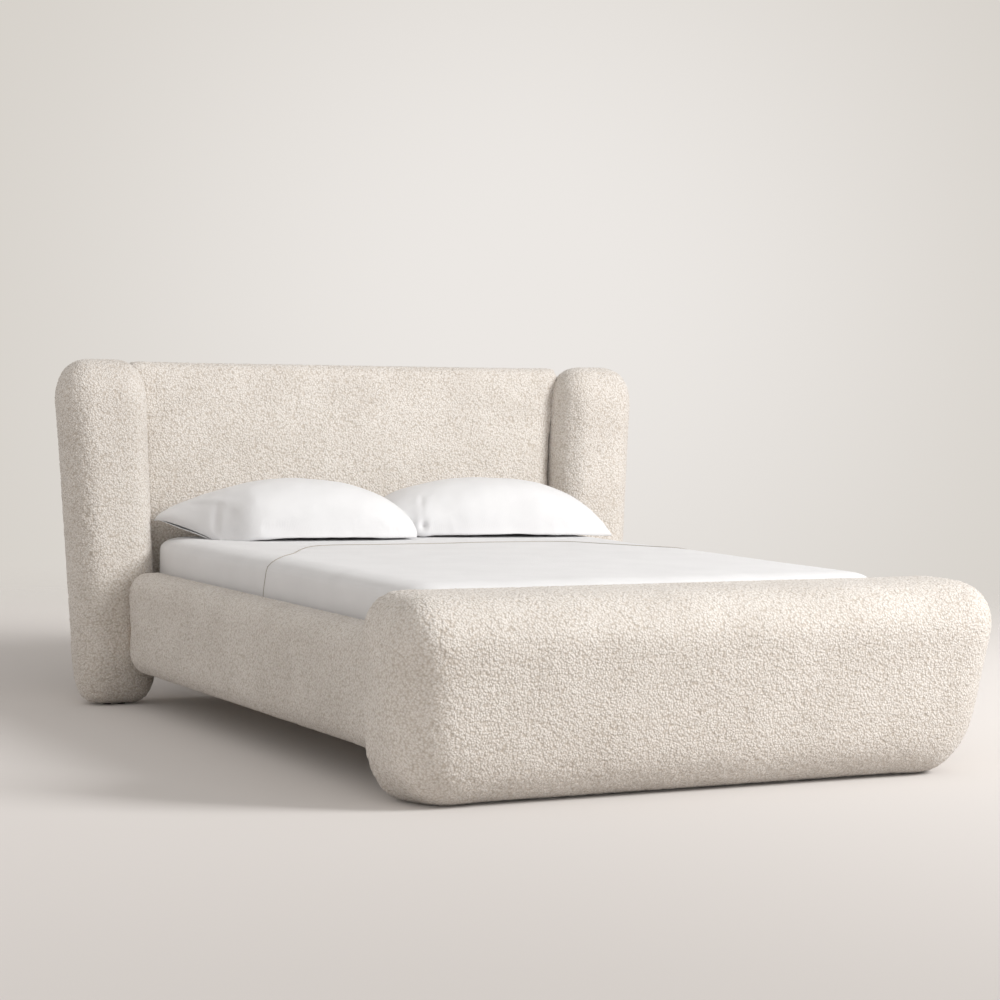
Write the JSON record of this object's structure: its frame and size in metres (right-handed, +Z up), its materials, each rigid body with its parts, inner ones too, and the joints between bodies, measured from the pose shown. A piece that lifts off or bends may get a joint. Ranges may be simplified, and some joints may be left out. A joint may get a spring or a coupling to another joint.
{
  "type": "upholstered bed",
  "caption": "Low queen bed in looped upholstery: leaning padded headboard between thick rounded wings, flared padded footboard, padded side rails, slatted base, mattress, sheets and pillows.",
  "frame": {"origin": "on the floor, under the middle of the bed's bounding box", "axes": "+X to the right seen from the foot, +Y from the foot to the head, +Z up"},
  "size_m": [2.1704, 2.5408, 1.15],
  "materials": {
    "boucle": "cream looped boucle over foam padding",
    "frame_timber": "planed softwood, unfinished",
    "slat_timber": "bent birch slats, clear sealed",
    "plywood": "raw plywood",
    "zinc_steel": "zinc plated",
    "black_plastic": "moulded, matt",
    "black_cloth": "thin non-woven lining",
    "mattress_ticking": "quilted ticking",
    "white_cotton": "plain-woven washed cotton",
    "pillow_filling": "cotton shell with soft filling"
  },
  "bodies": {
    "bed_frame": {"headboard_panel": "boucle", "headboard_backing_board": "plywood", "headboard_stiles": "frame_timber", "headboard_cross_rails": "frame_timber", "headboard_back_cover": "black_cloth", "wing_left": "boucle", "wing_right": "boucle", "wing_core_left": "frame_timber", "wing_core_right": "frame_timber", "wing_bolts": "zinc_steel", "headboard_glides": "black_plastic", "footboard": "boucle", "footboard_core": "frame_timber", "footboard_dust_cover": "black_cloth", "footboard_glides": "black_plastic", "side_rail_left": "boucle", "side_rail_right": "boucle", "rail_board_left": "frame_timber", "rail_board_right": "frame_timber", "rail_end_blocks": "frame_timber", "slat_ledge_left": "frame_timber", "slat_ledge_right": "frame_timber", "ledge_screws": "zinc_steel", "hook_plates": "zinc_steel", "receiver_plates": "zinc_steel", "plate_screws": "zinc_steel", "centre_beam": "frame_timber", "beam_hangers": "zinc_steel", "hanger_screws": "zinc_steel", "leg_bolts": "zinc_steel", "slat_holders": "black_plastic", "centre_leg_1": "frame_timber", "centre_leg_2": "frame_timber", "centre_leg_3": "frame_timber", "slat_1": "slat_timber", "slat_2": "slat_timber", "slat_3": "slat_timber", "slat_4": "slat_timber", "slat_5": "slat_timber", "slat_6": "slat_timber", "slat_7": "slat_timber", "slat_8": "slat_timber", "slat_9": "slat_timber", "slat_10": "slat_timber", "slat_11": "slat_timber", "slat_12": "slat_timber"},
    "mattress": {"mattress": "mattress_ticking", "fitted_sheet": "white_cotton", "top_sheet": "white_cotton"},
    "pillow_left": {"pillow_left": "pillow_filling", "pillowcase_left": "white_cotton"},
    "pillow_right": {"pillow_right": "pillow_filling", "pillowcase_right": "white_cotton"},
    "levelling_foot_1": {"levelling_stud_1": "zinc_steel", "levelling_pad_1": "black_plastic"},
    "levelling_foot_2": {"levelling_stud_2": "zinc_steel", "levelling_pad_2": "black_plastic"},
    "levelling_foot_3": {"levelling_stud_3": "zinc_steel", "levelling_pad_3": "black_plastic"}
  },
  "joints": [
    {"name": "mattress_lift", "type": "slide", "parent": "bed_frame", "child": "mattress", "axis": [0, 0, 1], "range_m": [0, 0.35]},
    {"name": "pillow_left_lift", "type": "slide", "parent": "mattress", "child": "pillow_left", "axis": [0, 0, 1], "range_m": [0, 0.3]},
    {"name": "pillow_right_lift", "type": "slide", "parent": "mattress", "child": "pillow_right", "axis": [0, 0, 1], "range_m": [0, 0.3]},
    {"name": "levelling_foot_1_screw", "type": "slide", "parent": "bed_frame", "child": "levelling_foot_1", "axis": [0, 0, -1], "range_m": [0, 0.012]},
    {"name": "levelling_foot_2_screw", "type": "slide", "parent": "bed_frame", "child": "levelling_foot_2", "axis": [0, 0, -1], "range_m": [0, 0.012]},
    {"name": "levelling_foot_3_screw", "type": "slide", "parent": "bed_frame", "child": "levelling_foot_3", "axis": [0, 0, -1], "range_m": [0, 0.012]}
  ]
}
